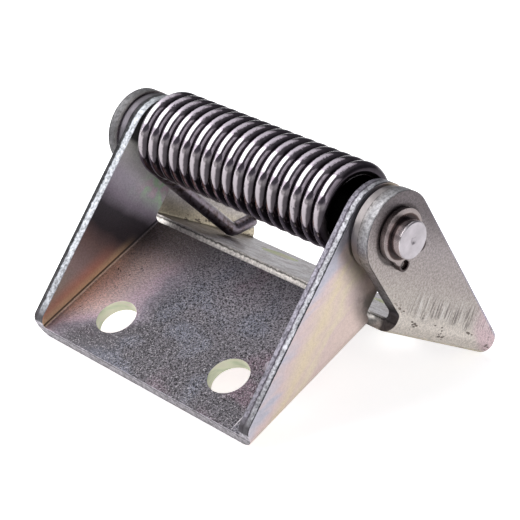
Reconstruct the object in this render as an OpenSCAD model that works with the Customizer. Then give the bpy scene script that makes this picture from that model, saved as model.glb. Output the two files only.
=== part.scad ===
// Sprung gate hinge. Two folded steel brackets turn on one pin, and a torsion spring holds
// them against a stop, where the near edges of their bases meet.
// It stands like a tent on the free edges of both bases, centred over the floor,
// with the pin along X, the front bracket towards -Y and up along +Z.

/* [Sheet] */
// Thickness of the sheet steel
sheet_t = 3; // [2.4:0.1:3.4]
// Inside radius of the folds
fold_r = 0.5; // [0.3:0.1:1]

/* [Brackets] */
// Width of the front bracket over its ears
front_w = 70; // [66:0.5:90]
// Depth of each base, from its near edge to its free edge
base_d = 38; // [34:0.5:50]
// Height of the pin above the outer face of each base
pin_h = 21; // [19:0.5:24]
// Distance from the pin to the near edge of each base, along the base
pin_gap = 10.4; // [9:0.2:12]
// Radius of the round end of each ear
ear_r = 9.5; // [8.5:0.1:10.5]
// Upright height of each ear above its fold at the near edge, before the edge slopes
near_foot = 1; // [0.8:0.1:1.4]
// Upright height of each ear above its fold at the free edge, where the corner is rounded
free_foot = 1.6; // [1:0.1:2]
// Radius of the fillet at the near foot of each ear
fillet_r = 1.2; // [0.4:0.1:1.3]
// Gap between the two near edges where they stop each other
stop_gap = 0.3; // [0.2:0.05:0.8]

/* [Bolt holes] */
// Diameter of the bolt holes
bolt_d = 9.5; // [6:0.1:11]
// Distance between the two bolt holes of a base
bolt_pitch = 36.6; // [28:0.2:40]
// Distance from the hole centres to the free edge of the base
bolt_edge = 10.8; // [8:0.2:13]

/* [Pin] */
// Diameter of the pin
pin_d = 8.4; // [7:0.1:9]
// Length of pin that stands out past each outer ear
pin_end = 4; // [3.6:0.1:6]
// Bevel on both ends of the pin
pin_bevel = 0.25; // [0.1:0.05:0.5]
// Play between the pin and its holes, on the radius
pin_fit = 0.05; // [0.03:0.01:0.1]
// Depth of the centre mark in each end of the pin
mark_depth = 0.5; // [0.2:0.1:1]
// Diameter of the centre mark
mark_d = 1.8; // [1:0.1:2.4]

/* [Washers] */
// Thickness of the two washers between the ears
washer_t = 2; // [1:0.1:3]
// Outer diameter of the washers
washer_d = 18.2; // [16:0.1:19]
// End play between a washer and the front bracket, on each side
end_play = 0.5; // [0.2:0.05:0.6]

/* [Retaining rings] */
// Thickness of the retaining rings
ring_t = 1.3; // [0.8:0.05:1.6]
// Radial width of a ring opposite its opening
ring_w = 2.5; // [1.8:0.1:3]
// Depth of the groove that holds a ring
groove_depth = 0.4; // [0.2:0.05:0.6]
// Gap between a ring and the ear beside it
ring_gap = 0.15; // [0.05:0.05:0.3]
// Radius of the eye at each end of a ring
eye_r = 1.6; // [1.5:0.05:2]
// How far an eye stands proud of its arm, on each side
eye_proud = 0.1; // [0.05:0.05:0.3]
// Diameter of the plier hole in each eye
eye_hole_d = 2.2; // [1.2:0.1:2.4]
// Half of the angle between the two eyes, seen from the pin
eye_angle = 26; // [20:1:35]
// Distance from the pin's groove to the nearest edge of an eye
eye_rise = 1.2; // [1:0.1:2]
// How far the ring's outer edge is off centre, away from its opening
ring_shift = 0.5; // [0.2:0.1:0.8]
// Direction of the opening, turned from the +Y side of the pin
ring_turn = -57; // [-180:1:180]

/* [Spring] */
// Diameter of the spring wire
wire_d = 3.4; // [2.4:0.1:3.6]
// Outer diameter of the coil
coil_d = 20.5; // [18.5:0.1:22]
// Least space between the coil and an ear of the front bracket
coil_room = 0.7; // [0.5:0.1:4]
// Gap between neighbouring turns
turn_gap = 0.02; // [0.01:0.01:0.1]
// Place of the coil's middle along the pin
coil_shift = 0.8; // [-1.2:0.1:1.2]
// Direction in which the legs press the coil against the pin, from upright towards the front
coil_lean = 25; // [-40:1:40]
// Gap left where the coil lies against the pin and where a leg lies on its base
spring_seat = 0.15; // [0.1:0.05:0.4]
// Distance from the near edge of a base to where the leg touches it
leg_reach = 18; // [14:0.5:22]
// Gap between the foot of the front leg and the ear beside it
leg_side_gap = 0.2; // [0.15:0.05:0.5]
// Radius of the bend at the foot of each leg, along the middle of the wire
toe_bend_r = 3; // [3:0.5:6]
// Angle at which the toe of each leg turns up from the base
toe_angle = 34; // [10:1:40]
// Straight length of the toe past its bend
toe_len = 5.5; // [2:0.5:8]

/* [Hidden] */

// Colours of the plated steel and of the dark spring
front_colour = [0.42, 0.41, 0.42];
rear_colour = [0.66, 0.64, 0.62];
pin_colour = [0.78, 0.76, 0.76];
spring_colour = [0.24, 0.22, 0.24];

// Fineness of round shapes, and how far a cutter runs past a face
round_fn = 64;
corner_steps = 6;
cut_past = 1;

// Share of an ear's upright free edge that its rounded corner takes up
free_round = 0.95;

// The folds, and the two corners of an ear where its edges start to slope
fold_out_r = sheet_t + fold_r;
near_corner = [0, fold_out_r + near_foot];
free_corner = [base_d, fold_out_r + free_foot];

// Widths from the inside out, all from the front bracket
ear_out_x = front_w / 2;
washer_x = ear_out_x + end_play;
rear_in_x = washer_x + washer_t;
rear_out_x = rear_in_x + sheet_t;
pin_end_x = rear_out_x + pin_end;

// Each base slopes down from the ridge by half of the fold between the brackets,
// which ends where the near edges are stop_gap apart
edge_radius = norm([pin_gap, pin_h]);
base_slope = atan(pin_gap / pin_h) - asin(stop_gap / 2 / edge_radius);
pin_z = pin_h * cos(base_slope) + (pin_gap + base_d) * sin(base_slope);

// The rings in their grooves, with the play on each side of a ring
groove_r = pin_d / 2 - groove_depth;
groove_side = 0.05;
ring_x = rear_out_x + ring_gap;
ring_in_r = groove_r + pin_fit;
eye_place_r = ring_in_r + eye_r + eye_rise;

// The coil lies with its bore against the pin, and fills the front bracket from ear to ear
coil_r = (coil_d - wire_d) / 2;
turn_pitch = wire_d + turn_gap;
coil_len = front_w - 2 * (sheet_t + coil_room + abs(coil_shift));
coil_offset = coil_r - wire_d / 2 - pin_d / 2 - spring_seat;
coil_yz = [-sin(coil_lean) * coil_offset, pin_z + cos(coil_lean) * coil_offset];
steps_per_turn = 20;
wire_sides = 8;
bend_steps = 6;

function polar(r, angle) = [r * cos(angle), r * sin(angle)];

function reversed(list) = [for (i = [len(list) - 1 : -1 : 0]) list[i]];

// Tangent line from a corner to the round end of an ear: its slope above the base.
// side is 1 for the line over the round end and -1 for the line under it.
function edge_slope(corner, side) =
    let (to_pin = [corner[0] + pin_gap, pin_h - corner[1]])
    atan2(to_pin[1], to_pin[0]) + side * asin(ear_r / norm(to_pin));

function touch_point(corner, side) =
    let (slope = edge_slope(corner, side))
    [-pin_gap + side * ear_r * sin(slope), pin_h + side * ear_r * cos(slope)];

// How much of an upright edge its rounded corner takes up, for a radius of 1
function corner_rise(slope) = tan((90 - slope) / 2);

// Rounded corner at the top of an upright edge, from the edge to a line that slopes up and back
function corner_arc(corner, slope, r) =
    let (centre = corner - [r, r * corner_rise(slope)])
    [for (i = [0 : corner_steps]) centre + polar(r, (90 - slope) * i / corner_steps)];

// Outline of an ear in its own plane, u along the base and v up from its outer face.
// Its free corner is rounded off over most of its upright edge, and its near corner is filleted.
module ear_outline() {
    near_slope = edge_slope(near_corner, -1);
    free_slope = edge_slope(free_corner, 1);
    free_r = free_round * free_foot / corner_rise(free_slope);
    translate([-pin_gap, pin_h]) circle(r = ear_r, $fn = round_fn);
    polygon(concat(
        [[0, fold_out_r], [base_d, fold_out_r]],
        corner_arc(free_corner, free_slope, free_r),
        [touch_point(free_corner, 1), touch_point(near_corner, -1)],
        reversed(corner_arc(near_corner, near_slope, fillet_r))
    ));
}

// Section across a base and its two folds
module base_section(half_w) {
    flat_x = half_w - fold_out_r;
    translate([-flat_x, 0]) square([2 * flat_x, sheet_t]);
    for (side = [-1, 1])
        translate([side * flat_x, fold_out_r])
            intersection() {
                difference() {
                    circle(r = fold_out_r, $fn = round_fn);
                    circle(r = fold_r, $fn = round_fn);
                }
                translate([side > 0 ? 0 : -fold_out_r, -fold_out_r])
                    square([fold_out_r, fold_out_r]);
            }
}

// One folded bracket, with its base flat on the XY plane and its near edge at y = 0
module flat_bracket(half_w) {
    difference() {
        union() {
            translate([0, base_d, 0])
                rotate([90, 0, 0])
                    linear_extrude(base_d) base_section(half_w);
            for (x = [-half_w, half_w - sheet_t])
                translate([x, 0, 0])
                    rotate([90, 0, 90])
                        linear_extrude(sheet_t) ear_outline();
        }
        for (x = [-bolt_pitch / 2, bolt_pitch / 2])
            translate([x, base_d - bolt_edge, -cut_past])
                cylinder(h = sheet_t + 2 * cut_past, d = bolt_d, $fn = round_fn);
        translate([-half_w - cut_past, -pin_gap, pin_h])
            rotate([0, 90, 0])
                cylinder(h = 2 * (half_w + cut_past), r = pin_d / 2 + pin_fit, $fn = round_fn);
    }
}

// Puts a bracket on the pin at its slope, towards +Y
module on_pin() {
    translate([0, 0, pin_z])
        rotate([-base_slope, 0, 0])
            translate([0, pin_gap, -pin_h]) children();
}

module front_bracket() {
    color(front_colour)
        mirror([0, 1, 0]) on_pin() flat_bracket(ear_out_x);
}

module rear_bracket() {
    color(rear_colour)
        on_pin() flat_bracket(rear_out_x);
}

// Half section of the pin, from its middle out to one end
function pin_half() = [
    [pin_d / 2, ring_x - groove_side],
    [groove_r, ring_x - groove_side],
    [groove_r, ring_x + ring_t + groove_side],
    [pin_d / 2, ring_x + ring_t + groove_side],
    [pin_d / 2, pin_end_x - pin_bevel],
    [pin_d / 2 - pin_bevel, pin_end_x],
    [mark_d / 2, pin_end_x],
    [0, pin_end_x - mark_depth]
];

module hinge_pin() {
    half = pin_half();
    count = len(half);
    color(pin_colour)
        translate([0, 0, pin_z])
            rotate([0, 90, 0])
                rotate_extrude($fn = round_fn)
                    polygon(concat(
                        half,
                        [for (i = [count - 1 : -1 : 0]) [half[i][0], -half[i][1]]]
                    ));
}

// A washer whose face nearer to the middle of the hinge is at x
module washer(x) {
    color(pin_colour)
        translate([x, 0, pin_z])
            rotate([0, 90, 0])
                difference() {
                    cylinder(h = washer_t, d = washer_d, $fn = round_fn);
                    translate([0, 0, -cut_past])
                        cylinder(h = washer_t + 2 * cut_past, r = pin_d / 2 + pin_fit, $fn = round_fn);
                }
}

module washer_left() {
    washer(-rear_in_x);
}

module washer_right() {
    washer(washer_x);
}

// A retaining ring lying flat, opening along its own +X
module flat_ring() {
    ring_out_r = ring_in_r + ring_w - ring_shift;
    arm_r = eye_r - eye_proud;
    opening_angle = eye_angle / 2;
    difference() {
        union() {
            translate([-ring_shift, 0, 0]) cylinder(h = ring_t, r = ring_out_r, $fn = round_fn);
            for (side = [-1, 1])
                rotate([0, 0, side * eye_angle]) {
                    translate([eye_place_r, 0, 0]) cylinder(h = ring_t, r = eye_r, $fn = round_fn);
                    linear_extrude(ring_t)
                        polygon([
                            [ring_in_r / 2, -side * arm_r],
                            [eye_place_r, -side * arm_r],
                            [eye_place_r, side * arm_r],
                            [ring_in_r / 2, side * (ring_out_r - ring_shift)]
                        ]);
                }
        }
        translate([0, 0, -cut_past]) {
            cylinder(h = ring_t + 2 * cut_past, r = ring_in_r, $fn = round_fn);
            linear_extrude(ring_t + 2 * cut_past)
                polygon([
                    [0, 0],
                    2 * eye_place_r * [cos(opening_angle), sin(opening_angle)],
                    2 * eye_place_r * [cos(opening_angle), -sin(opening_angle)]
                ]);
            for (side = [-1, 1])
                rotate([0, 0, side * eye_angle])
                    translate([eye_place_r, 0, 0])
                        cylinder(h = ring_t + 2 * cut_past, d = eye_hole_d, $fn = round_fn);
        }
    }
}

// A retaining ring whose face nearer to the middle of the hinge is at x
module retaining_ring(x) {
    color(pin_colour)
        translate([x, 0, pin_z])
            rotate([90, 0, 90])
                rotate([0, 0, ring_turn]) flat_ring();
}

module retaining_ring_left() {
    retaining_ring(-ring_x - ring_t);
}

module retaining_ring_right() {
    retaining_ring(ring_x);
}

// Point in the YZ plane that is u along the rear base and v above its outer face
function base_point(u, v) = [
    (pin_gap + u) * cos(base_slope) + (v - pin_h) * sin(base_slope),
    pin_z - (pin_gap + u) * sin(base_slope) + (v - pin_h) * cos(base_slope)
];

// Angle round the coil at which the straight part of a leg leaves it,
// as the tangent that the coil shares with the bend at the foot of the leg
function leg_angle(centre, foot) =
    let (d = foot - centre)
    atan2(d[1], d[0]) + asin((coil_r - toe_bend_r) / norm(d)) - 90;

// A leg runs off the coil, lies on a base at its foot and turns up into a toe.
// It is worked out for the rear base, with the coil's centre given, as a list of
// [place, angle of the outward side of the wire], from the coil to the toe.
function leg(centre) =
    let (
        foot = base_point(leg_reach, sheet_t + wire_d / 2 + spring_seat + toe_bend_r),
        start = leg_angle(centre, foot),
        end = toe_angle - base_slope - 90,
        toe = foot + polar(toe_bend_r, end)
    )
    concat(
        [[centre + polar(coil_r, start), start]],
        [for (i = [0 : bend_steps])
            let (a = start + (end - start) * i / bend_steps)
            [foot + polar(toe_bend_r, a), a]],
        [[toe + polar(toe_len, end + 90), end]]
    );

// The other leg is the same thing seen in a mirror, on the front base,
// but it leans outwards, so that its foot lies beside the ear
function mirrored(p) = [[-p[0][0], p[0][1]], 180 - p[1]];

// The whole wire, from the toe on the rear base, through the coil, to the toe on the front base,
// as a list of [x, place, angle of the outward side]
function wire_path() =
    let (
        rear_leg = leg(coil_yz),
        front_leg = [for (p = leg([-coil_yz[0], coil_yz[1]])) mirrored(p)],
        from_a = rear_leg[0][1],
        part_turn = (from_a - front_leg[0][1] + 720) % 360,
        whole_turns = floor((coil_len - wire_d) / turn_pitch - part_turn / 360),
        sweep_a = 360 * whole_turns + part_turn,
        steps = ceil(sweep_a / 360 * steps_per_turn),
        x_first = coil_shift - turn_pitch * sweep_a / 720,
        x_last = x_first + turn_pitch * sweep_a / 360,
        x_front_foot = ear_out_x - sheet_t - leg_side_gap - wire_d / 2
    )
    concat(
        [for (p = reversed(rear_leg)) [x_first, p[0], p[1]]],
        [for (i = [1 : steps - 1])
            let (a = from_a - sweep_a * i / steps)
            [x_first + (x_last - x_first) * i / steps, coil_yz + polar(coil_r, a), a]],
        [for (i = [0 : len(front_leg) - 1])
            let (p = front_leg[i])
            [i == 0 ? x_last : x_front_foot, p[0], p[1]]]
    );

module torsion_spring() {
    path = wire_path();
    rings = len(path);
    points = [
        for (p = path, k = [0 : wire_sides - 1])
            let (
                a = 360 * k / wire_sides,
                at = p[1] + polar(wire_d / 2 * cos(a), p[2])
            )
            [p[0] + wire_d / 2 * sin(a), at[0], at[1]]
    ];
    walls = [
        for (i = [0 : rings - 2], k = [0 : wire_sides - 1])
            let (
                a = i * wire_sides + k,
                b = i * wire_sides + (k + 1) % wire_sides
            )
            [a, b, b + wire_sides, a + wire_sides]
    ];
    caps = [
        [for (k = [wire_sides - 1 : -1 : 0]) k],
        [for (k = [0 : wire_sides - 1]) (rings - 1) * wire_sides + k]
    ];
    color(spring_colour)
        polyhedron(points, concat(walls, caps), convexity = 12);
}

front_bracket();
rear_bracket();
hinge_pin();
washer_left();
washer_right();
retaining_ring_left();
retaining_ring_right();
torsion_spring();
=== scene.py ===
import math

import bmesh
import bpy
from mathutils import Matrix, Vector


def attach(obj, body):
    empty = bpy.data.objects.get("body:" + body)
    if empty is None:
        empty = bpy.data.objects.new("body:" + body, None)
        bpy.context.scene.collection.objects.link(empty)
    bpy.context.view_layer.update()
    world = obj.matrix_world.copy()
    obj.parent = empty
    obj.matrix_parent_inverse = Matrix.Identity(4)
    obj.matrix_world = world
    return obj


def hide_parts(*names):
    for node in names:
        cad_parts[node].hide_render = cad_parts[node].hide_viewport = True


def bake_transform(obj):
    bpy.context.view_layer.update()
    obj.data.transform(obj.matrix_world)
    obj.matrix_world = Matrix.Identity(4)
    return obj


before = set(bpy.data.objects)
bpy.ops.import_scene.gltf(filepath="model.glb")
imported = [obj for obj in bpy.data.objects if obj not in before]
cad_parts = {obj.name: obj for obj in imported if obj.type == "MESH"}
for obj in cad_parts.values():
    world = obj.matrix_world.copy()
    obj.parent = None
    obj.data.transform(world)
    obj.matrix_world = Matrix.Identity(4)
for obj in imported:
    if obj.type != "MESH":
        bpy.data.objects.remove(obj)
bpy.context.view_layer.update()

# Sizes of the hinge, in metres
MM = 0.001
SHEET = 3 * MM
FOLD_OUT = 3.5 * MM
FRONT_HALF = 35 * MM
REAR_HALF = 40.5 * MM
BASE_DEPTH = 38 * MM
PIN_HEIGHT = 21 * MM
PIN_GAP = 10.4 * MM
STOP_GAP = 0.3 * MM
PIN_R = 4.2 * MM
BOLT_R = 4.75 * MM
BOLT_X = 18.3 * MM
BOLT_U = 27.2 * MM
WIRE_R = 1.7 * MM
COIL_R = 8.55 * MM
TURN_PITCH = 3.42 * MM
COIL_SHIFT = 0.8 * MM
COIL_LEAN = math.radians(25)
COIL_ROOM = 0.7 * MM
SEAT = 0.15 * MM
LEG_REACH = 18 * MM
TOE_R = 3 * MM
TOE_ANGLE = math.radians(34)
TOE_LENGTH = 5.5 * MM
LEG_SIDE_GAP = 0.2 * MM

EDGE_RADIUS = math.hypot(PIN_GAP, PIN_HEIGHT)
SLOPE = math.atan2(PIN_GAP, PIN_HEIGHT) - math.asin(STOP_GAP / 2 / EDGE_RADIUS)
PIN_Z = PIN_HEIGHT * math.cos(SLOPE) + (PIN_GAP + BASE_DEPTH) * math.sin(SLOPE)

# The sloped edge of an ear: where it starts above the outer face, and the way across it in u and v
FREE_CORNER_V = 5.1 * MM
ACROSS_U, ACROSS_V = 0.492, 0.870


def polar(radius, angle):
    return Vector((0, radius * math.cos(angle), radius * math.sin(angle)))


def base_point(u, v):
    """Point of the rear base, u from its near edge and v above its outer face."""
    c, s = math.cos(SLOPE), math.sin(SLOPE)
    along, up = PIN_GAP + u, v - PIN_HEIGHT
    return Vector((0, along * c + up * s, PIN_Z - along * s + up * c))


def leg_angles(centre):
    """Where the foot of a leg bends, and the angles at which the bend starts and ends."""
    foot = base_point(LEG_REACH, SHEET + WIRE_R + SEAT + TOE_R)
    way = foot - centre
    start = math.atan2(way[2], way[1]) + math.asin((COIL_R - TOE_R) / way.length) - math.pi / 2
    return foot, start, TOE_ANGLE - SLOPE - math.pi / 2


# The coil leans against the pin, and its legs set how many turns fit between the ears
COIL_CENTRE = Vector((0, 0, PIN_Z)) + polar(COIL_R - WIRE_R - PIN_R - SEAT, COIL_LEAN + math.pi / 2)
TURNED_ROUND = Vector((1, -1, 1))
COIL_START = leg_angles(COIL_CENTRE)[1]
COIL_PART = (COIL_START - (math.pi - leg_angles(COIL_CENTRE * TURNED_ROUND)[1])) % math.tau
COIL_SPACE = 2 * (FRONT_HALF - SHEET - COIL_ROOM - abs(COIL_SHIFT)) - 2 * WIRE_R
COIL_SWEEP = math.floor(COIL_SPACE / TURN_PITCH - COIL_PART / math.tau) * math.tau + COIL_PART
COIL_RUN = TURN_PITCH * COIL_SWEEP / math.tau
COIL_FIRST = COIL_SHIFT - COIL_RUN / 2


# ---- Node helpers ----


def node(tree, kind, feeds=None, **settings):
    made = tree.nodes.new(kind)
    for key, value in settings.items():
        setattr(made, key, value)
    for key, value in (feeds or {}).items():
        if isinstance(value, bpy.types.NodeSocket):
            tree.links.new(value, made.inputs[key])
        else:
            made.inputs[key].default_value = value
    return made


def calc(tree, operation, *values):
    feeds = dict(enumerate(values))
    return node(tree, "ShaderNodeMath", feeds, operation=operation).outputs[0]


def times(tree, *values):
    """The product of all the values."""
    made = values[0]
    for value in values[1:]:
        made = calc(tree, "MULTIPLY", made, value)
    return made


def plus(tree, *values):
    """The sum of all the values."""
    made = values[0]
    for value in values[1:]:
        made = calc(tree, "ADD", made, value)
    return made


def less(tree, first, second):
    return calc(tree, "SUBTRACT", first, second)


def hypotenuse(tree, a, b):
    return calc(tree, "SQRT", plus(tree, times(tree, a, a), times(tree, b, b)))


def parts(tree, vector):
    return node(tree, "ShaderNodeSeparateXYZ", {0: vector}).outputs


def scaled(tree, colour, amount):
    feeds = {0: colour, "Scale": amount}
    return node(tree, "ShaderNodeVectorMath", feeds, operation="SCALE").outputs[0]


def mixed(tree, share, first, second):
    """A number between two others."""
    return node(tree, "ShaderNodeMix", {0: share, 2: first, 3: second}).outputs[0]


def span(tree, value, low, high, to_low=0.0, to_high=1.0):
    feeds = {"Value": value, "From Min": low, "From Max": high, "To Min": to_low, "To Max": to_high}
    made = node(tree, "ShaderNodeMapRange", feeds, interpolation_type="SMOOTHSTEP")
    return made.outputs[0]


def between(tree, value, low, rise, fall, high):
    """1 from rise to fall, and fading out to 0 at low and at high."""
    return times(tree, span(tree, value, low, rise), span(tree, value, high, fall))


def line(tree, value, low, high):
    feeds = {"Value": value, "From Min": low, "From Max": high}
    return node(tree, "ShaderNodeMapRange", feeds).outputs[0]


def spread(tree, value, middle, amount):
    """How far a noise is from its middle, times an amount."""
    return times(tree, less(tree, value, middle), amount)


def ramp(tree, value, *stops):
    made = node(tree, "ShaderNodeValToRGB", {0: value})
    band = made.color_ramp
    while len(band.elements) < len(stops):
        band.elements.new(0.5)
    for element, (place, colour) in zip(band.elements, stops):
        element.position = place
    for element, (place, colour) in zip(band.elements, stops):
        element.color = (*colour, 1) if len(colour) == 3 else colour
    return made.outputs[0]


def blend(tree, share, first, second):
    """A colour between two others."""
    feeds = {0: share}
    for key, colour in ((6, first), (7, second)):
        feeds[key] = colour if isinstance(colour, bpy.types.NodeSocket) else (*colour, 1)
    return node(tree, "ShaderNodeMix", feeds, data_type="RGBA").outputs[2]


def noise(tree, place, scale, detail=3.0, roughness=0.55, distortion=0.0):
    feeds = {
        "Vector": place, "Scale": scale, "Detail": detail, "Roughness": roughness,
        "Distortion": distortion,
    }
    return node(tree, "ShaderNodeTexNoise", feeds).outputs[0]


def cells(tree, place, scale):
    """Distance to the nearest of many scattered points."""
    feeds = {"Vector": place, "Scale": scale}
    return node(tree, "ShaderNodeTexVoronoi", feeds).outputs["Distance"]


def mapped(tree, place, location=(0, 0, 0), rotation=(0, 0, 0), scale=(1, 1, 1)):
    feeds = {"Vector": place, "Location": location, "Rotation": rotation, "Scale": scale}
    return node(tree, "ShaderNodeMapping", feeds).outputs[0]


def object_place(tree):
    return node(tree, "ShaderNodeTexCoord").outputs["Object"]


def group(name, inputs, outputs, fill):
    tree = bpy.data.node_groups.new(name, "ShaderNodeTree")
    for label, kind, value in inputs:
        socket = tree.interface.new_socket(label, in_out="INPUT", socket_type=kind)
        if value is not None:
            socket.default_value = value
    for label, kind in outputs:
        tree.interface.new_socket(label, in_out="OUTPUT", socket_type=kind)
    source = tree.nodes.new("NodeGroupInput")
    target = tree.nodes.new("NodeGroupOutput")
    for label, socket in fill(tree, source.outputs).items():
        tree.links.new(socket, target.inputs[label])
    return tree


def use(tree, made_group, **feeds):
    made = tree.nodes.new("ShaderNodeGroup")
    made.node_tree = made_group
    for key, value in feeds.items():
        key = key.replace("_", " ").capitalize()
        if isinstance(value, bpy.types.NodeSocket):
            tree.links.new(value, made.inputs[key])
        else:
            made.inputs[key].default_value = value
    return made.outputs


# ---- Effects that several finishes share ----

FLOAT, VECTOR = "NodeSocketFloat", "NodeSocketVector"


def fill_speckle(tree, given):
    fine = noise(tree, given["Place"], given["Scale"], 2.0, 0.6)
    moved = mapped(tree, given["Place"], (0.1, 0.2, 0.3))
    tiny = noise(tree, moved, times(tree, given["Scale"], 2.3), 1.0)
    both = plus(tree, times(tree, fine, 0.6), times(tree, tiny, 0.4))
    return {"Speckle": span(tree, both, 0.36, 0.64)}


SPECKLE = group(
    "speckle",
    [("Place", VECTOR, None), ("Scale", FLOAT, 2500.0)],
    [("Speckle", FLOAT)],
    fill_speckle,
)


def fill_pits(tree, given):
    near = cells(tree, given["Place"], given["Scale"])
    size = noise(tree, given["Place"], times(tree, given["Scale"], 0.23), 1.0)
    edge = times(tree, span(tree, size, 0.45, 0.75), given["Size"])
    return {"Pits": span(tree, less(tree, edge, near), 0.0, 0.05)}


PITS = group(
    "pits",
    [("Place", VECTOR, None), ("Scale", FLOAT, 300.0), ("Size", FLOAT, 0.3)],
    [("Pits", FLOAT)],
    fill_pits,
)


def fill_torn(tree, given):
    streaks = noise(tree, given["Place"], 1300.0, 4.0, 0.7, 0.4)
    stretched = mapped(tree, given["Place"], (0.2, 0, 0), scale=(500, 900, 900))
    teeth = spread(tree, noise(tree, stretched, 1.0, 3.0, 0.6), 0.5, 0.30)
    return {"Streaks": streaks, "Torn across": plus(tree, given["Across"], teeth)}


TORN = group(
    "torn edge",
    [("Place", VECTOR, None), ("Across", FLOAT, 0.5)],
    [("Streaks", FLOAT), ("Torn across", FLOAT)],
    fill_torn,
)


# ---- Finishes ----


def finish(name, fill):
    made = bpy.data.materials.new(name)
    made.use_nodes = True
    tree = made.node_tree
    tree.nodes.clear()
    shader = node(tree, "ShaderNodeBsdfPrincipled", {"Metallic": 1.0})
    tree.links.new(shader.outputs[0], node(tree, "ShaderNodeOutputMaterial").inputs[0])
    feeds = fill(tree, object_place(tree))
    height = feeds.pop("Height", None)
    if height is not None:
        depth, socket = height
        feeds["Normal"] = node(
            tree, "ShaderNodeBump", {"Strength": 1.0, "Distance": depth, "Height": socket}
        ).outputs[0]
    for key, value in feeds.items():
        if isinstance(value, bpy.types.NodeSocket):
            tree.links.new(value, shader.inputs[key])
        else:
            shader.inputs[key].default_value = value
    return made


def on_leaf(tree, place, side):
    """The place on a bracket, with its x along the pin, u from the near edge and v up from the
    outer face, in metres."""
    shift = (0, PIN_Z * math.sin(SLOPE) - PIN_GAP, PIN_HEIGHT - PIN_Z * math.cos(SLOPE))
    turned = mapped(tree, place, shift, (SLOPE, 0, 0), (1, side, 1))
    return turned, parts(tree, turned)


def pin_distance(tree, u, v):
    return hypotenuse(tree, plus(tree, u, PIN_GAP), less(tree, v, PIN_HEIGHT))


def edge_distance(tree, u, v):
    """How far a place on an ear is from the ear's sloped edge."""
    inward = times(tree, less(tree, BASE_DEPTH, u), ACROSS_U)
    return less(tree, inward, times(tree, less(tree, v, FREE_CORNER_V), ACROSS_V))


def grained(tree, colour, grain, depth):
    """The colour made lighter and darker by a grain of 0 to 1."""
    return scaled(tree, colour, plus(tree, 1.0, spread(tree, grain, 0.5, depth)))


def pale_plating(tree, leaf, u, v):
    """Thin clear plating whose colour drifts in streaks along the ear."""
    stretched = mapped(tree, leaf, rotation=(-0.52, 0, 0), scale=(100, 45, 200))
    streaks = noise(tree, stretched, 1.0, 3.0, 0.55, 0.6)
    inside = span(tree, edge_distance(tree, u, v), -0.5 * MM, 17 * MM, -0.05, 0.95)
    return ramp(
        tree,
        plus(tree, inside, spread(tree, streaks, 0.5, 0.9)),
        (0.00, (0.52, 0.51, 0.58)),
        (0.05, (0.60, 0.55, 0.60)),
        (0.15, (0.69, 0.56, 0.55)),
        (0.36, (0.74, 0.63, 0.47)),
        (0.50, (0.72, 0.59, 0.52)),
        (0.64, (0.74, 0.64, 0.50)),
        (0.80, (0.70, 0.56, 0.53)),
        (1.00, (0.72, 0.58, 0.53)),
    )


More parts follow.
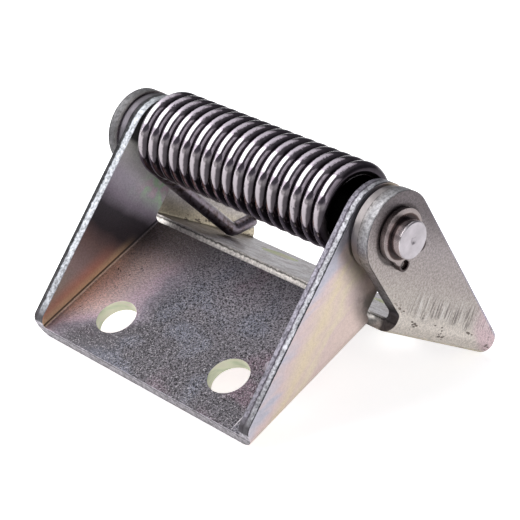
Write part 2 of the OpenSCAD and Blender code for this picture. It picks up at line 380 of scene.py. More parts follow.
def front_inside(tree, place, x, u, v):
    """Dark plating inside the front bracket, lighter and browner towards its left fold: partly the
    plating's colour, partly painted light.
    """
    wander = noise(tree, place, 70.0, 3.0, 0.55, 0.4)
    from_fold = plus(tree, x, spread(tree, wander, 0.5, 9 * MM))
    from_fold = plus(tree, from_fold, span(tree, u, 24 * MM, 37 * MM, 0, 15 * MM))
    # Partly painted light: the base is made much lighter towards its left fold
    base = ramp(
        tree,
        span(tree, from_fold, -33 * MM, -4 * MM),
        (0.00, (0.72, 0.52, 0.46)),
        (0.20, (0.66, 0.48, 0.45)),
        (0.42, (0.46, 0.35, 0.36)),
        (0.58, (0.36, 0.27, 0.31)),
        (0.72, (0.18, 0.155, 0.185)),
        (0.88, (0.100, 0.092, 0.105)),
    )
    toward_free = span(tree, u, 4 * MM, 26 * MM, 1.25, 0.58)
    shade = mixed(tree, span(tree, from_fold, -16 * MM, -8 * MM), 1.0, toward_free)
    base = scaled(tree, base, shade)
    near_corner = times(tree, span(tree, u, 15 * MM, 4 * MM), span(tree, x, -4 * MM, -18 * MM), 0.9)
    base = blend(tree, near_corner, base, (0.10, 0.085, 0.085))
    stain = noise(tree, mapped(tree, place, (0.3, 0.1, 0)), 60.0, 2.0)
    right = times(tree, span(tree, from_fold, -14 * MM, -6 * MM), 0.6)
    warm = times(tree, span(tree, stain, 0.52, 0.66), right)
    cold = times(tree, span(tree, stain, 0.47, 0.34), right)
    base = blend(tree, warm, base, (0.105, 0.066, 0.085))
    base = blend(tree, cold, base, (0.088, 0.092, 0.116))
    slant = less(tree, u, times(tree, less(tree, v, FOLD_OUT), 0.45))
    slant = plus(tree, slant, spread(tree, wander, 0.5, 5 * MM))
    ear = ramp(
        tree,
        span(tree, slant, -14 * MM, 36 * MM),
        (0.00, (0.80, 0.78, 0.74)),
        (0.10, (0.50, 0.45, 0.52)),
        (0.19, (0.31, 0.265, 0.32)),
        (0.285, (0.055, 0.046, 0.055)),
        (0.45, (0.045, 0.037, 0.043)),
        (0.58, (0.20, 0.13, 0.12)),
        (0.80, (0.38, 0.28, 0.27)),
        (1.00, (0.33, 0.29, 0.24)),
    )
    by_coil = times(tree, span(tree, slant, 0.0, -6 * MM), span(tree, v, 18 * MM, 11 * MM))
    blot = noise(tree, mapped(tree, place, (0.1, 0.4, 0.2)), 330.0, 2.0, 0.5, 0.6)
    green = times(tree, by_coil, span(tree, blot, 0.42, 0.60, 0.25, 0.95))
    pink = times(tree, by_coil, span(tree, blot, 0.47, 0.36, 0.0, 0.7))
    ear = blend(tree, green, ear, (0.50, 0.70, 0.47))
    ear = blend(tree, pink, ear, (0.70, 0.50, 0.60))
    red = times(tree, span(tree, v, 9.5 * MM, 5.0 * MM), span(tree, u, 11 * MM, 21 * MM), 0.75)
    ear = blend(tree, red, ear, (0.62, 0.25, 0.17))
    tan = times(tree, span(tree, v, 6.2 * MM, 3.8 * MM), span(tree, u, 6 * MM, 16 * MM), 0.8)
    ear = blend(tree, tan, ear, (0.66, 0.46, 0.28))
    # Painted shadow of the coil: near-black across the ear beside and under the coil
    from_coil = plus(tree, u, times(tree, less(tree, 23.1 * MM, v), 0.518), 4.7 * MM)
    painted_coil_shadow = times(tree, span(tree, from_coil, 1.4 * MM, -0.4 * MM), 0.9)
    ear = blend(tree, painted_coil_shadow, ear, (0.02, 0.018, 0.02))
    on_ear = span(tree, calc(tree, "ABSOLUTE", x), 31.6 * MM, 32.0 * MM)
    return blend(tree, on_ear, base, ear), on_ear


def front_face(tree, place):
    leaf, (x, u, v) = on_leaf(tree, place, -1)
    inside, on_ear = front_inside(tree, place, x, u, v)
    off_ear = less(tree, 1.0, on_ear)
    within = span(tree, calc(tree, "ABSOLUTE", x), 32.5 * MM, 32.2 * MM)
    outside = less(tree, 1.0, times(tree, within, span(tree, v, 2.6 * MM, 2.8 * MM)))
    pale = pale_plating(tree, leaf, u, v)
    # Painted shade, in blotches, towards the near corner and near edge of the ear
    shade_blotches = noise(tree, mapped(tree, place, (0.5, 0.2, 0.1)), 190.0, 3.0, 0.6)
    near = times(
        tree,
        span(tree, u, 4.5 * MM, -0.5 * MM),
        span(tree, v, 14 * MM, 6 * MM, 0.25, 0.9),
        span(tree, shade_blotches, 0.25, 0.62, 0.35, 1.0),
    )
    pale = blend(tree, near, pale, (0.12, 0.11, 0.105))
    # Painted shade around the washer, strongest below it
    painted_shade_by_washer = times(
        tree,
        span(tree, pin_distance(tree, u, v), 13.0 * MM, 10.0 * MM),
        span(tree, v, 15 * MM, 10 * MM, 0.2, 0.75),
    )
    pale = blend(tree, painted_shade_by_washer, pale, (0.14, 0.13, 0.13))
    fine = use(tree, SPECKLE, place=place, scale=2100.0)["Speckle"]
    # Painted glints: light specks where the grain of the base would catch the soft box
    moved = mapped(tree, place, (0.7, 0.4, 0.2))
    painted_glints = use(tree, SPECKLE, place=moved, scale=2400.0)["Speckle"]
    contrast = span(tree, x, -16 * MM, -6 * MM, 0.6, 1.9)
    contrast = times(tree, contrast, less(tree, 1.0, times(tree, on_ear, 0.7)))
    shade = plus(tree, 1.0, spread(tree, fine, 0.5, contrast))
    inside = scaled(tree, inside, calc(tree, "MAXIMUM", shade, 0.15))
    painted_glints = times(tree, span(tree, painted_glints, 0.78, 1.0, 0.0, 0.6), off_ear)
    inside = blend(tree, painted_glints, inside, (0.36, 0.34, 0.36))
    pale = grained(tree, pale, fine, 0.10)
    specks = use(tree, PITS, place=place, scale=1300.0, size=0.16)["Pits"]
    pale = blend(tree, times(tree, specks, 0.3), pale, (0.20, 0.18, 0.17))
    scraped = noise(tree, mapped(tree, leaf, (0.2, 0, 0), (0, 0, 0.9)), 900.0, 2.0)
    scratch = times(
        tree,
        span(tree, calc(tree, "ABSOLUTE", less(tree, x, 29.2 * MM)), 0.22 * MM, 0.05 * MM),
        span(tree, u, 32.5 * MM, 33.5 * MM),
        span(tree, scraped, 0.3, 0.6),
    )
    inside = blend(tree, scratch, inside, (0.45, 0.42, 0.45))
    spots = use(tree, PITS, place=place, scale=1500.0, size=0.36)["Pits"]
    spots = times(tree, spots, span(tree, x, -10 * MM, -24 * MM, 0.35, 0.9), off_ear)
    inside = blend(tree, spots, inside, (0.030, 0.022, 0.025))
    # Painted shade: a dark line along the inner fold
    fold_crease_shade = between(tree, v, 3.12 * MM, 3.3 * MM, 3.6 * MM, 3.85 * MM)
    inside = blend(tree, times(tree, fold_crease_shade, 0.85), inside, (0.02, 0.016, 0.016))
    dull = times(tree, on_ear, span(tree, outside, 0, 1, 0.4, 0.0))
    rough = span(tree, fine, 0.0, 1.0, 0.50, 0.36)
    return {
        "Base Color": blend(tree, outside, inside, pale),
        "Metallic": less(tree, span(tree, outside, 0, 1, 0.8, 0.9), dull),
        "Roughness": less(tree, rough, times(tree, outside, 0.04)),
        "Height": (0.00003, times(tree, fine, span(tree, outside, 0, 1, 1.0, 0.25))),
    }


def rear_face(tree, place):
    leaf, (x, u, v) = on_leaf(tree, place, 1)
    beside = calc(tree, "ABSOLUTE", x)
    broad = noise(tree, place, 60.0, 3.0)
    colour = ramp(
        tree,
        plus(tree, line(tree, v, 2 * MM, 30 * MM), spread(tree, broad, 0.5, 0.25)),
        (0.05, (0.60, 0.55, 0.50)),
        (0.16, (0.45, 0.41, 0.375)),
        (0.40, (0.36, 0.32, 0.305)),
        (0.62, (0.32, 0.285, 0.285)),
        (0.90, (0.15, 0.13, 0.135)),
    )
    outer = span(tree, beside, 38.5 * MM, 39.5 * MM)
    from_edge = edge_distance(tree, u, v)
    corner = times(tree, span(tree, u, 25 * MM, 32 * MM), span(tree, from_edge, 6.5 * MM, 4.0 * MM))
    colour = blend(tree, times(tree, corner, outer, 0.85), colour, (0.55, 0.41, 0.44))
    # Painted shadow of the ring on the ear around it
    painted_ring_shadow = span(tree, pin_distance(tree, u, v), 7.1 * MM, 6.5 * MM)
    colour = blend(tree, times(tree, painted_ring_shadow, 0.8), colour, (0.05, 0.04, 0.04))
    rim = times(tree, span(tree, from_edge, 0.9 * MM, 0.1 * MM), outer, 0.8)
    colour = blend(tree, rim, colour, (0.30, 0.30, 0.40))
    inner = less(tree, 1.0, outer)
    lilac = times(tree, inner, span(tree, broad, 0.3, 0.6), 0.7)
    colour = blend(tree, lilac, colour, (0.34, 0.32, 0.35))
    by_fold = times(tree, span(tree, beside, 34.5 * MM, 37.3 * MM), span(tree, v, 9 * MM, 3.5 * MM))
    colour = blend(tree, times(tree, inner, by_fold, 0.6), colour, (0.55, 0.47, 0.28))
    on_base = times(
        tree,
        between(tree, v, 1.5 * MM, 2.5 * MM, 3.05 * MM, 3.3 * MM),
        span(tree, beside, 37.4 * MM, 37.0 * MM),
        0.9,
    )
    mud = noise(tree, mapped(tree, place, (0, 0.2, 0)), 260.0, 3.0, 0.65, 0.5)
    dirty = blend(tree, span(tree, mud, 0.38, 0.60), (0.11, 0.085, 0.085), (0.31, 0.29, 0.315))
    colour = blend(tree, on_base, colour, dirty)
    fine = use(tree, SPECKLE, place=place, scale=1900.0)["Speckle"]
    colour = grained(tree, colour, fine, 0.42)
    squeezed = mapped(tree, leaf, scale=(1, 0.6, 1.2))
    dots = use(tree, PITS, place=squeezed, scale=1500.0, size=0.60)["Pits"]
    dots = times(tree, dots, span(tree, v, 8.0 * MM, 5.5 * MM, 0.12, 0.9))
    colour = blend(tree, dots, colour, (0.12, 0.095, 0.08))
    stretched = mapped(tree, leaf, rotation=(0.30, 0, 0), scale=(1, 1500, 120))
    hairs = noise(tree, stretched, 1.0, 3.0, 0.65)
    patch = noise(tree, mapped(tree, leaf, scale=(1, 190, 160)), 1.0, 2.0)
    height = plus(tree, v, spread(tree, patch, 0.5, 5 * MM))
    scuffed = times(
        tree,
        between(tree, height, 4.8 * MM, 6.2 * MM, 8.5 * MM, 11.5 * MM),
        outer,
        span(tree, u, -1 * MM, 6 * MM),
        span(tree, patch, 0.30, 0.52, 0.25, 1.0),
    )
    dark = times(tree, span(tree, hairs, 0.50, 0.60), scuffed)
    light = times(tree, span(tree, hairs, 0.47, 0.38), scuffed)
    colour = blend(tree, times(tree, dark, 0.8), colour, (0.15, 0.13, 0.125))
    colour = blend(tree, times(tree, light, 0.65), colour, (0.66, 0.64, 0.62))
    return {
        "Base Color": colour,
        "Roughness": span(tree, fine, 0.0, 1.0, 0.44, 0.34),
        "Height": (0.00002, less(tree, fine, times(tree, dark, 2.0))),
    }


RIGHT_EAR_CUT = (
    (0.00, (0.10, 0.09, 0.11)),
    (0.10, (0.19, 0.18, 0.21)),
    (0.34, (0.17, 0.16, 0.19)),
    (0.42, (0.035, 0.03, 0.04)),
    (0.50, (0.13, 0.12, 0.14)),
    (0.56, (0.28, 0.28, 0.30)),
    (0.82, (0.26, 0.26, 0.28)),
    (0.90, (0.03, 0.03, 0.035)),
)
LEFT_EAR_CUT = (
    (0.00, (0.15, 0.15, 0.17)),
    (0.08, (0.27, 0.28, 0.30)),
    (0.30, (0.33, 0.345, 0.365)),
    (0.58, (0.29, 0.30, 0.325)),
    (0.66, (0.03, 0.03, 0.032)),
    (0.95, (0.02, 0.02, 0.022)),
)
REAR_EAR_CUT = (
    (0.00, (0.10, 0.09, 0.09)),
    (0.14, (0.19, 0.18, 0.18)),
    (0.50, (0.24, 0.235, 0.245)),
    (0.82, (0.29, 0.285, 0.295)),
    (0.98, (0.10, 0.095, 0.10)),
)
# The rear bracket's left ear edges: the same tones darkened as painted shade
REAR_LEFT_CUT_IN_SHADE = tuple((at, tuple(0.45 * c for c in tone)) for at, tone in REAR_EAR_CUT)
FRONT_BASE_CUT = (
    (0.00, (0.10, 0.09, 0.10)),
    (0.15, (0.25, 0.235, 0.25)),
    (0.70, (0.31, 0.29, 0.31)),
    (0.83, (0.10, 0.09, 0.10)),
    (0.93, (0.36, 0.34, 0.37)),
)
REAR_BASE_CUT = (
    (0.00, (0.45, 0.43, 0.40)),
    (0.30, (0.66, 0.63, 0.60)),
    (0.72, (0.62, 0.58, 0.55)),
    (0.83, (0.05, 0.045, 0.04)),
    (0.93, (0.30, 0.28, 0.27)),
)


def cut_face(side, half, grain, left_ear, right_ear, flat):
    """Torn edge of the sheet, with tones across each ear and across the flat base."""
    def fill(tree, place):
        leaf, (x, u, v) = on_leaf(tree, place, side)
        on_ear = span(tree, v, 4.0 * MM, 4.4 * MM)
        from_inside = less(tree, calc(tree, "ABSOLUTE", x), half - SHEET)
        across_ear = calc(tree, "DIVIDE", from_inside, SHEET)
        ear = use(tree, TORN, place=leaf, across=across_ear)
        turned = mapped(tree, leaf, rotation=(0, 0, math.pi / 2))
        base = use(tree, TORN, place=turned, across=line(tree, v, 0.0, SHEET))
        left = ramp(tree, ear["Torn across"], *left_ear)
        right = ramp(tree, ear["Torn across"], *right_ear)
        ears = blend(tree, span(tree, x, -MM, MM), left, right)
        colour = blend(tree, on_ear, ramp(tree, base["Torn across"], *flat), ears)
        streaks = mixed(tree, on_ear, base["Streaks"], ear["Streaks"])
        colour = grained(tree, colour, span(tree, streaks, 0.3, 0.7), grain)
        low = times(tree, on_ear, span(tree, v, 7.5 * MM, 5.5 * MM))
        higher = times(tree, on_ear, span(tree, v, 15 * MM, 8 * MM, 0.0, 0.35))
        fold_end = times(
            tree,
            span(tree, across_ear, -0.5, -0.1),
            span(tree, u, 3 * MM, MM),
            span(tree, v, 7.5 * MM, 4.5 * MM),
        )
        shaded = calc(tree, "MAXIMUM", calc(tree, "MAXIMUM", low, higher), fold_end)
        colour = blend(tree, times(tree, shaded, 0.88), colour, (0.06, 0.055, 0.06))
        return {
            "Base Color": colour,
            "Roughness": span(tree, streaks, 0.3, 0.7, 0.52, 0.38),
            "Height": (0.00005, streaks),
        }

    return fill


def bolt_hole_wall(tree, place):
    bands = noise(tree, mapped(tree, place, scale=(200, 200, 900)), 1.0, 3.0)
    colour = ramp(
        tree,
        bands,
        (0.3, (0.62, 0.70, 0.52)),
        (0.5, (0.78, 0.82, 0.64)),
        (0.7, (0.80, 0.78, 0.68)),
    )
    return {"Base Color": colour, "Metallic": 0.5, "Roughness": 0.45, "Height": (0.00003, bands)}


# How close the turning marks on flat round faces lie, in radians per metre
TURNING_MARKS = 22000.0


def pin_radius(tree, place):
    """How far a place is from the middle line of the pin."""
    x, y, z = parts(tree, mapped(tree, place, (0, 0, -PIN_Z)))
    return hypotenuse(tree, y, z)


def bright_zinc(tint, roughness, rings=0.0):
    def fill(tree, place):
        turning = calc(tree, "SINE", times(tree, pin_radius(tree, place), TURNING_MARKS))
        cloud = noise(tree, place, 420.0, 3.0)
        colour = ramp(tree, cloud, (0.3, tuple(0.8 * c for c in tint)), (0.7, tint))
        pits = use(tree, PITS, place=place, scale=900.0, size=0.22)["Pits"]
        return {
            "Base Color": blend(tree, times(tree, pits, 0.6), colour, (0.08, 0.07, 0.08)),
            "Roughness": span(tree, cloud, 0.3, 0.7, roughness + 0.08, roughness),
            "Height": (0.00002, plus(tree, cloud, times(tree, turning, rings))),
        }

    return fill


def ring_steel(tree, place):
    """Spring steel, light on the flat, with painted shade in the dark band where it turns in to the
    groove of the pin.
    """
    cloud = noise(tree, place, 500.0, 3.0)
    outward = line(tree, pin_radius(tree, place), 4 * MM, 7 * MM)
    # Painted shade: dark where the ring meets the pin
    colour = ramp(
        tree,
        plus(tree, outward, spread(tree, cloud, 0.5, 0.08)),
        (0.20, (0.035, 0.025, 0.025)),
        (0.33, (0.07, 0.045, 0.04)),
        (0.42, (0.34, 0.29, 0.28)),
        (0.72, (0.30, 0.26, 0.255)),
        (0.84, (0.09, 0.07, 0.07)),
    )
    return {
        "Base Color": colour,
        "Roughness": span(tree, cloud, 0.3, 0.7, 0.34, 0.24),
        "Height": (0.00001, cloud),
    }


# The pin where it runs through the coil: near-black, a painted shade
def shaded_pin_steel(tree, place):
    cloud = noise(tree, place, 300.0, 3.0)
    colour = ramp(tree, cloud, (0.3, (0.012, 0.010, 0.012)), (0.7, (0.03, 0.028, 0.03)))
    return {"Base Color": colour, "Roughness": 0.55, "Height": (0.00003, cloud)}


def on_coil(tree, place):
    """How far round the coil in turns, how far from the crest of the wire, and whether the wire
    is coiled there."""
    centred = mapped(tree, place, (-COIL_FIRST, -COIL_CENTRE[1], -COIL_CENTRE[2]))
    x, y, z = parts(tree, centred)
    turn = calc(tree, "DIVIDE", calc(tree, "ARCTAN2", z, y), math.tau)
    turn = calc(tree, "FRACT", plus(tree, turn, 1.0))
    along = plus(tree, calc(tree, "DIVIDE", x, TURN_PITCH), turn)
    along = calc(tree, "FRACT", plus(tree, along, 100.5 - COIL_START / math.tau))
    from_crest = spread(tree, along, 0.5, TURN_PITCH)
    reach = COIL_R + WIRE_R
    coiled = span(tree, hypotenuse(tree, y, z), reach + 0.3 * MM, reach + 0.05 * MM)
    return turn, from_crest, coiled


# Bands round the coil, in turns, where light and shade are painted: where each one starts, is full,
# begins to fade and ends
TOP_REFLECTION_BAND = (0.25, 0.275, 0.325, 0.345)
HIGHLIGHT_BAND = (0.336, 0.349, 0.414, 0.426)
FLOOR_REFLECTION_BAND = (0.435, 0.46, 0.52, 0.56)
SHADE_AND_GRIME_BAND = (0.435, 0.475, 0.60, 0.68)


def spring_wire(tree, place):
    turn, from_crest, coiled = on_coil(tree, place)
    beside = calc(tree, "ABSOLUTE", from_crest)
    mottle = noise(tree, place, 900.0, 3.0, 0.6)
    edge_jitter = noise(tree, mapped(tree, place, (0.3, 0, 0)), 1300.0, 3.0, 0.65)
    wander = spread(tree, edge_jitter, 0.5, 0.8 * MM)
    colour = ramp(
        tree,
        mottle,
        (0.32, (0.17, 0.145, 0.17)),
        (0.5, (0.24, 0.205, 0.24)),
        (0.7, (0.30, 0.26, 0.30)),
    )
    # Painted shade: the back and top of each turn made darker
    painted_dark_top = times(tree, coiled, span(tree, turn, 0.345, 0.31, 0.0, 0.65))
    colour = blend(tree, painted_dark_top, colour, (0.10, 0.083, 0.10))
    # Painted highlight: the key soft box's reflection on the crest, on the upper front of each turn
    on_crest = span(tree, beside, 0.75 * MM, 0.30 * MM)
    painted_highlight = times(tree, between(tree, turn, *HIGHLIGHT_BAND), coiled, on_crest)
    colour = blend(tree, painted_highlight, colour, (0.50, 0.47, 0.50))
    # Painted reflection of the floor: a lighter band on the front of each turn, below the highlight
    painted_floor_reflection = times(tree, between(tree, turn, *FLOOR_REFLECTION_BAND), coiled, 0.8)
    colour = blend(tree, painted_floor_reflection, colour, (0.42, 0.38, 0.40))
    flecks = use(tree, PITS, place=place, scale=1100.0, size=0.34)["Pits"]
    colour = blend(tree, times(tree, flecks, 0.5), colour, (0.04, 0.03, 0.05))
    # Painted shade and grime: darker between the turns on the lower front of the coil
    side = calc(tree, "ABSOLUTE", plus(tree, from_crest, 0.4 * MM))
    side = span(tree, plus(tree, side, times(tree, wander, 0.45)), 0.80 * MM, 1.25 * MM)
    groove_shade_and_grime = times(tree, side, between(tree, turn, *SHADE_AND_GRIME_BAND), coiled, 0.88)
    colour = blend(tree, groove_shade_and_grime, colour, (0.022, 0.018, 0.022))
    # Painted shade where the turns meet, all round the coil
    shade_between_turns = span(tree, plus(tree, beside, times(tree, wander, 0.5)), 1.05 * MM, 1.5 * MM)
    colour = blend(tree, times(tree, shade_between_turns, coiled, 0.8), colour, (0.03, 0.025, 0.03))
    # Painted reflection of the top panel: a lighter patch on the crest at the top of each turn,
    # also made rougher
    uneven = span(tree, plus(tree, beside, times(tree, wander, 2.5)), 1.0 * MM, 0.3 * MM)
    painted_top_reflection = times(tree, between(tree, turn, *TOP_REFLECTION_BAND), coiled, uneven)
    colour = blend(tree, times(tree, painted_top_reflection, 0.7), colour, (0.50, 0.45, 0.51))
    leg = less(tree, 1.0, coiled)
    brown = times(tree, leg, span(tree, mottle, 0.42, 0.62))
    colour = blend(tree, brown, colour, (0.10, 0.075, 0.075))
    rough = span(tree, mottle, 0.3, 0.7, 0.13, 0.09)
    rough = plus(tree, rough, times(tree, painted_top_reflection, 0.25), times(tree, leg, 0.2))
    return {"Base Color": colour, "Roughness": rough, "Height": (0.000004, mottle)}


def cut_wire_end(tree, place):
    lines = noise(tree, mapped(tree, place, scale=(2500, 500, 500)), 1.0, 3.0)
    colour = ramp(tree, lines, (0.3, (0.16, 0.13, 0.15)), (0.7, (0.40, 0.36, 0.40)))
    return {"Base Color": colour, "Roughness": 0.35, "Height": (0.00006, lines)}


FILLS = {
    "front_face": front_face,
    "rear_face": rear_face,
    "front_cut": cut_face(-1, FRONT_HALF, 1.0, LEFT_EAR_CUT, RIGHT_EAR_CUT, FRONT_BASE_CUT),
    "rear_cut": cut_face(1, REAR_HALF, 0.7, REAR_LEFT_CUT_IN_SHADE, REAR_EAR_CUT, REAR_BASE_CUT),
    "bolt_hole_wall": bolt_hole_wall,
    "pin_end": bright_zinc((0.56, 0.52, 0.55), 0.30, 0.25),
    "pin_side": bright_zinc((0.78, 0.72, 0.74), 0.05),
    "pin_middle": shaded_pin_steel,
    "washer": bright_zinc((0.23, 0.21, 0.21), 0.32, 0.2),
    # The left washer: the same zinc, darker as painted shade
    "shaded_washer": bright_zinc((0.12, 0.11, 0.125), 0.34, 0.2),
    "ring": ring_steel,
    "spring_wire": spring_wire,
    "cut_wire_end": cut_wire_end,
}
FINISHES = {name: finish(name, fill) for name, fill in FILLS.items()}


# ---- Pieces ----

# How near a face lies to a fold or a hole that it belongs to
CLOSE = 0.1 * MM
# How finely the wire is rounded, coiled and bent
WIRE_SIDES = 22
TURN_STEPS = 56
BEND_STEPS = 12
# The stretch of pin painted near-black as shade inside the coil, on each side of its middle
SHADED_PIN_HALF = 40 * MM


def add_piece(bm, name, body, slot, finishes, *replaced):
    mesh = bpy.data.meshes.new(name)
    bm.to_mesh(mesh)
    bm.free()
    piece = bpy.data.objects.new(name, mesh)
    bpy.context.scene.collection.objects.link(piece)
    for label in finishes:
        mesh.materials.append(FINISHES[label])
    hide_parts(*replaced)
    if body is not None:
        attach(piece, body)
    return piece


def edge_angle(edge):
    return edge.calc_face_angle() if len(edge.link_faces) == 2 else math.pi


def ease_edges(bm, edges, ease):
    bmesh.ops.bevel(
        bm, geom=edges, offset=ease, offset_type="OFFSET", affect="EDGES", segments=2,
        profile=0.5, material=-1, clamp_overlap=True,
    )


def eased_copy(cad_node, ease):
    """The solid with its sharp edges eased by a small round."""
    bm = bmesh.new()
    bm.from_mesh(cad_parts[cad_node].data)
    bmesh.ops.remove_doubles(bm, verts=bm.verts, dist=1e-6)
    bmesh.ops.dissolve_limit(
        bm, angle_limit=math.radians(0.3), use_dissolve_boundaries=False,
        verts=bm.verts, edges=bm.edges, delimit=set(),
    )
    for face in bm.faces:
        face.material_index = 0
    ease_edges(bm, [e for e in bm.edges if edge_angle(e) > math.radians(28)], ease)
    bmesh.ops.triangulate(bm, faces=[f for f in bm.faces if len(f.verts) > 4])
    for face in bm.faces:
        face.smooth = True
    for edge in bm.edges:
        edge.smooth = edge_angle(edge) < math.radians(30)
    return bm


def keep_flats_flat(piece):
    made = piece.modifiers.new("flat faces stay flat", "WEIGHTED_NORMAL")
    made.keep_sharp = True
    made.weight = 60


def leaf_axes(side, point, normal):
    down = point[2] - PIN_Z
    c, s = math.cos(SLOPE), math.sin(SLOPE)
    u = side * point[1] * c - down * s - PIN_GAP
    v = side * point[1] * s + down * c + PIN_HEIGHT
    return u, v, side * normal[1] * c - normal[2] * s, side * normal[1] * s + normal[2] * c


def make_bracket(cad_node, name, body, slot, side, half, face, cut):
    """A bracket with three finishes: its faces, its cut edges and the walls of its bolt holes."""
    bm = eased_copy(cad_node, 0.16 * MM)
    for f in bm.faces:
        centre = f.calc_center_median()
        u, v, toward_free, outward = leaf_axes(side, centre, f.normal)
        on_ear_edge = v > FOLD_OUT - CLOSE and abs(f.normal[0]) < 0.5
        from_hole = min(math.hypot(centre[0] - x, u - BOLT_U) for x in (-BOLT_X, BOLT_X))
        if from_hole < BOLT_R + CLOSE and abs(outward) < 0.5:
            f.material_index = 2
        elif on_ear_edge or abs(toward_free) > 0.6:
            f.material_index = 1
    keep_flats_flat(add_piece(bm, name, body, slot, [face, cut, "bolt_hole_wall"], cad_node))


def make_pin():
    bm = eased_copy("hinge_pin", 0.08 * MM)
    for f in bm.faces:
        centre = f.calc_center_median()
        if abs(centre[0]) < SHADED_PIN_HALF:
            f.material_index = 2
        elif abs(f.normal[0]) < 0.5:
            f.material_index = 1
    finishes = ["pin_end", "pin_side", "pin_middle"]
    keep_flats_flat(add_piece(bm, "pin", "rear", "pin_zinc", finishes, "hinge_pin"))


def make_small_part(cad_node, name, slot, label, ease):
    piece = add_piece(eased_copy(cad_node, ease), name, "rear", slot, [label], cad_node)
    keep_flats_flat(piece)


def make_spring():
    """One round wire: the rear toe and leg, the coil, and the front leg and toe."""
    centre = COIL_CENTRE
    foot, start, end = leg_angles(centre)
    far_foot, far_start, far_end = leg_angles(centre * TURNED_ROUND)
    far_foot = far_foot * TURNED_ROUND
    first_x = Vector((COIL_FIRST, 0, 0))
    last_x = first_x + Vector((COIL_RUN, 0, 0))
    foot_x = Vector((FRONT_HALF - SHEET - LEG_SIDE_GAP - WIRE_R, 0, 0))
    steps = math.ceil(COIL_SWEEP / math.tau * TURN_STEPS)
    bm = bmesh.new()
    toe_end = foot + polar(TOE_R, end) + polar(TOE_LENGTH, end + math.pi / 2) + first_x
    placed = Matrix.Translation(toe_end) @ Matrix.Rotation(end, 4, "X")
    made = bmesh.ops.create_circle(
        bm, cap_ends=False, radius=WIRE_R, segments=WIRE_SIDES, matrix=placed
    )
    loop = list({e for v in made["verts"] for e in v.link_edges})
    first_loop = list(loop)

    def straight(way):
        grown = bmesh.ops.extrude_edge_only(bm, edges=loop)["geom"]
        loop[:] = [g for g in grown if isinstance(g, bmesh.types.BMEdge)]
        moved = [g for g in grown if isinstance(g, bmesh.types.BMVert)]
        bmesh.ops.translate(bm, vec=way, verts=moved)

    def turn(about, angle, count, advance=0.0):
        geom = loop + list({v for e in loop for v in e.verts})
        last = bmesh.ops.spin(
            bm, geom=geom, cent=about, axis=(1, 0, 0), dvec=(advance / count, 0, 0),
            angle=angle, steps=count,
        )["geom_last"]
        loop[:] = [g for g in last if isinstance(g, bmesh.types.BMEdge)]

    straight(-polar(TOE_LENGTH, end + math.pi / 2))
    turn(foot + first_x, start - end, BEND_STEPS)
    straight(centre + polar(COIL_R, start) - foot - polar(TOE_R, start))
    turn(centre + first_x, -COIL_SWEEP, steps, COIL_RUN)
    other = math.pi - far_start
    straight(far_foot + foot_x + polar(TOE_R, other) - centre - last_x - polar(COIL_R, other))
    turn(far_foot + foot_x, far_start - far_end, BEND_STEPS)
    straight(polar(TOE_LENGTH, math.pi / 2 - far_end))
    ends = [
        bmesh.ops.edgeloop_fill(bm, edges=edges)["faces"] for edges in (first_loop, list(loop))
    ]
    bmesh.ops.remove_doubles(bm, verts=bm.verts, dist=1e-7)
    bmesh.ops.recalc_face_normals(bm, faces=bm.faces)
    rims = [e for faces in ends for f in faces for e in f.edges]
    for faces in ends:
        for f in faces:
            f.material_index = 1
    ease_edges(bm, rims, 0.18 * MM)
    for f in bm.faces:
        f.smooth = len(f.verts) == 4
    finishes = ["spring_wire", "cut_wire_end"]
    piece = add_piece(bm, "spring", None, "spring_steel", finishes, "torsion_spring")
    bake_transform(piece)


# Each bracket: its CAD node, piece, body, slot, side of the hinge, half its width, two finishes
BRACKETS = (
    (
        "front_bracket", "front_leaf", "front", "front_steel",
        -1, FRONT_HALF, "front_face", "front_cut",
    ),
    (
        "rear_bracket", "rear_leaf", "rear", "rear_steel",
        1, REAR_HALF, "rear_face", "rear_cut",
    ),
)
# Each small part: its CAD node, piece, slot, finish, and how far its edges are eased
SMALL_PARTS = (
    ("washer_left", "left_washer", "washer_zinc", "shaded_washer", 0.25 * MM),
    ("washer_right", "right_washer", "washer_zinc", "washer", 0.25 * MM),
    ("retaining_ring_left", "left_ring", "ring_zinc", "ring", 0.12 * MM),
    ("retaining_ring_right", "right_ring", "ring_zinc", "ring", 0.12 * MM),
)
for bracket in BRACKETS:
    make_bracket(*bracket)
make_pin()
for small_part in SMALL_PARTS:
    make_small_part(*small_part)
make_spring()


# ---- Studio ----

# How bright the floor looks to the camera, and in the metal
FLOOR_SEEN = 0.65
FLOOR_IN_METAL = 0.45
LIT_POINT = Vector((0, 0, 0.03))


def make_floor():
    bm = bmesh.new()
    bmesh.ops.create_grid(bm, x_segments=2, y_segments=2, size=30.0)
    mesh = bpy.data.meshes.new("floor")
    bm.to_mesh(mesh)
    bm.free()
    floor = bpy.data.objects.new("floor", mesh)
    bpy.context.scene.collection.objects.link(floor)
    made = bpy.data.materials.new("floor")
    made.use_nodes = True
    tree = made.node_tree
    tree.nodes.clear()
    matt = node(tree, "ShaderNodeBsdfDiffuse", {"Color": (0.86, 0.86, 0.87, 1)})
    seen = node(tree, "ShaderNodeLightPath").outputs
    mirrored = calc(tree, "MAXIMUM", seen["Is Glossy Ray"], seen["Is Transmission Ray"])
    shown = plus(
        tree,
        times(tree, seen["Is Camera Ray"], FLOOR_SEEN),
        times(tree, mirrored, FLOOR_IN_METAL),
    )
    glow = node(tree, "ShaderNodeEmission", {"Strength": shown})
    both = node(tree, "ShaderNodeAddShader", {0: matt.outputs[0], 1: glow.outputs[0]})
    tree.links.new(both.outputs[0], node(tree, "ShaderNodeOutputMaterial").inputs[0])
    mesh.materials.append(made)


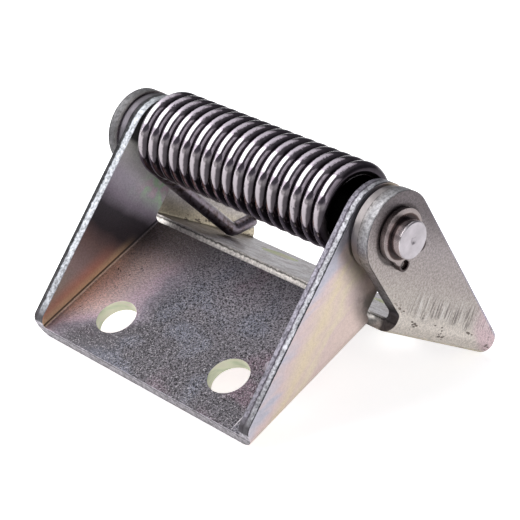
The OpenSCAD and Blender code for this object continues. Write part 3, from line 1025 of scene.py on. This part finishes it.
def make_world():
    world = bpy.data.worlds.new("studio")
    bpy.context.scene.world = world
    world.use_nodes = True
    tree = world.node_tree
    tree.nodes.clear()
    way = node(tree, "ShaderNodeTexCoord").outputs["Generated"]
    height = node(tree, "ShaderNodeSeparateXYZ", {0: way}).outputs[2]
    tone = ramp(
        tree, height,
        (0.0, (1.0, 1.0, 1.0)), (0.06, (0.9, 0.9, 0.9)), (0.16, (0.20, 0.20, 0.22)),
        (0.55, (0.12, 0.12, 0.13)), (1.0, (0.30, 0.30, 0.31)),
    )
    light = node(tree, "ShaderNodeBackground", {"Color": tone, "Strength": 1.0})
    tree.links.new(light.outputs[0], node(tree, "ShaderNodeOutputWorld").inputs[0])


def softbox(name, way, distance, width, height, radiance):
    lamp = bpy.data.lights.new(name, "AREA")
    lamp.shape = "RECTANGLE"
    lamp.size = width
    lamp.size_y = height
    lamp.energy = radiance * math.pi * width * height
    holder = bpy.data.objects.new(name, lamp)
    bpy.context.scene.collection.objects.link(holder)
    back = Vector(way).normalized()
    side = Vector((1, 0, 0)) - back * back[0]
    side.normalize()
    up = back.cross(side)
    turned = Matrix((side, up, back)).transposed().to_4x4()
    holder.matrix_world = Matrix.Translation(LIT_POINT + back * distance) @ turned


# Each light: the way to it from the hinge, its distance, width and height in metres, its radiance
LIGHTS = (
    ("key softbox", (-0.64, -0.451, 0.622), 0.75, 0.95, 0.80, 3.0),
    ("top panel", (-0.62, 0.30, 0.72), 0.95, 1.5, 0.75, 1.1),
    ("right panel", (0.75, -0.35, 0.40), 1.1, 1.1, 0.9, 1.2),
)
make_floor()
make_world()
for light in LIGHTS:
    softbox(*light)

# The camera that was fitted to the photograph
CAMERA_PLACE = (0.25753, -0.25849, 0.18784)
CAMERA_RIGHT = Vector((0.69858, 0.71483, 0.03186))
CAMERA_UP = Vector((-0.31906, 0.27134, 0.90806))
SENSOR_WIDTH = 36
FOCAL_LENGTH = 124.24


def make_camera():
    data = bpy.data.cameras.new("camera")
    data.sensor_width = SENSOR_WIDTH
    data.lens = FOCAL_LENGTH
    data.clip_start = 0.01
    data.clip_end = 100
    camera = bpy.data.objects.new("camera", data)
    bpy.context.scene.collection.objects.link(camera)
    axes = (CAMERA_RIGHT, CAMERA_UP, CAMERA_RIGHT.cross(CAMERA_UP))
    turned = Matrix(axes).transposed().to_4x4()
    camera.matrix_world = Matrix.Translation(CAMERA_PLACE) @ turned
    bpy.context.scene.camera = camera


make_camera()
bpy.context.scene.view_settings.view_transform = "Standard"
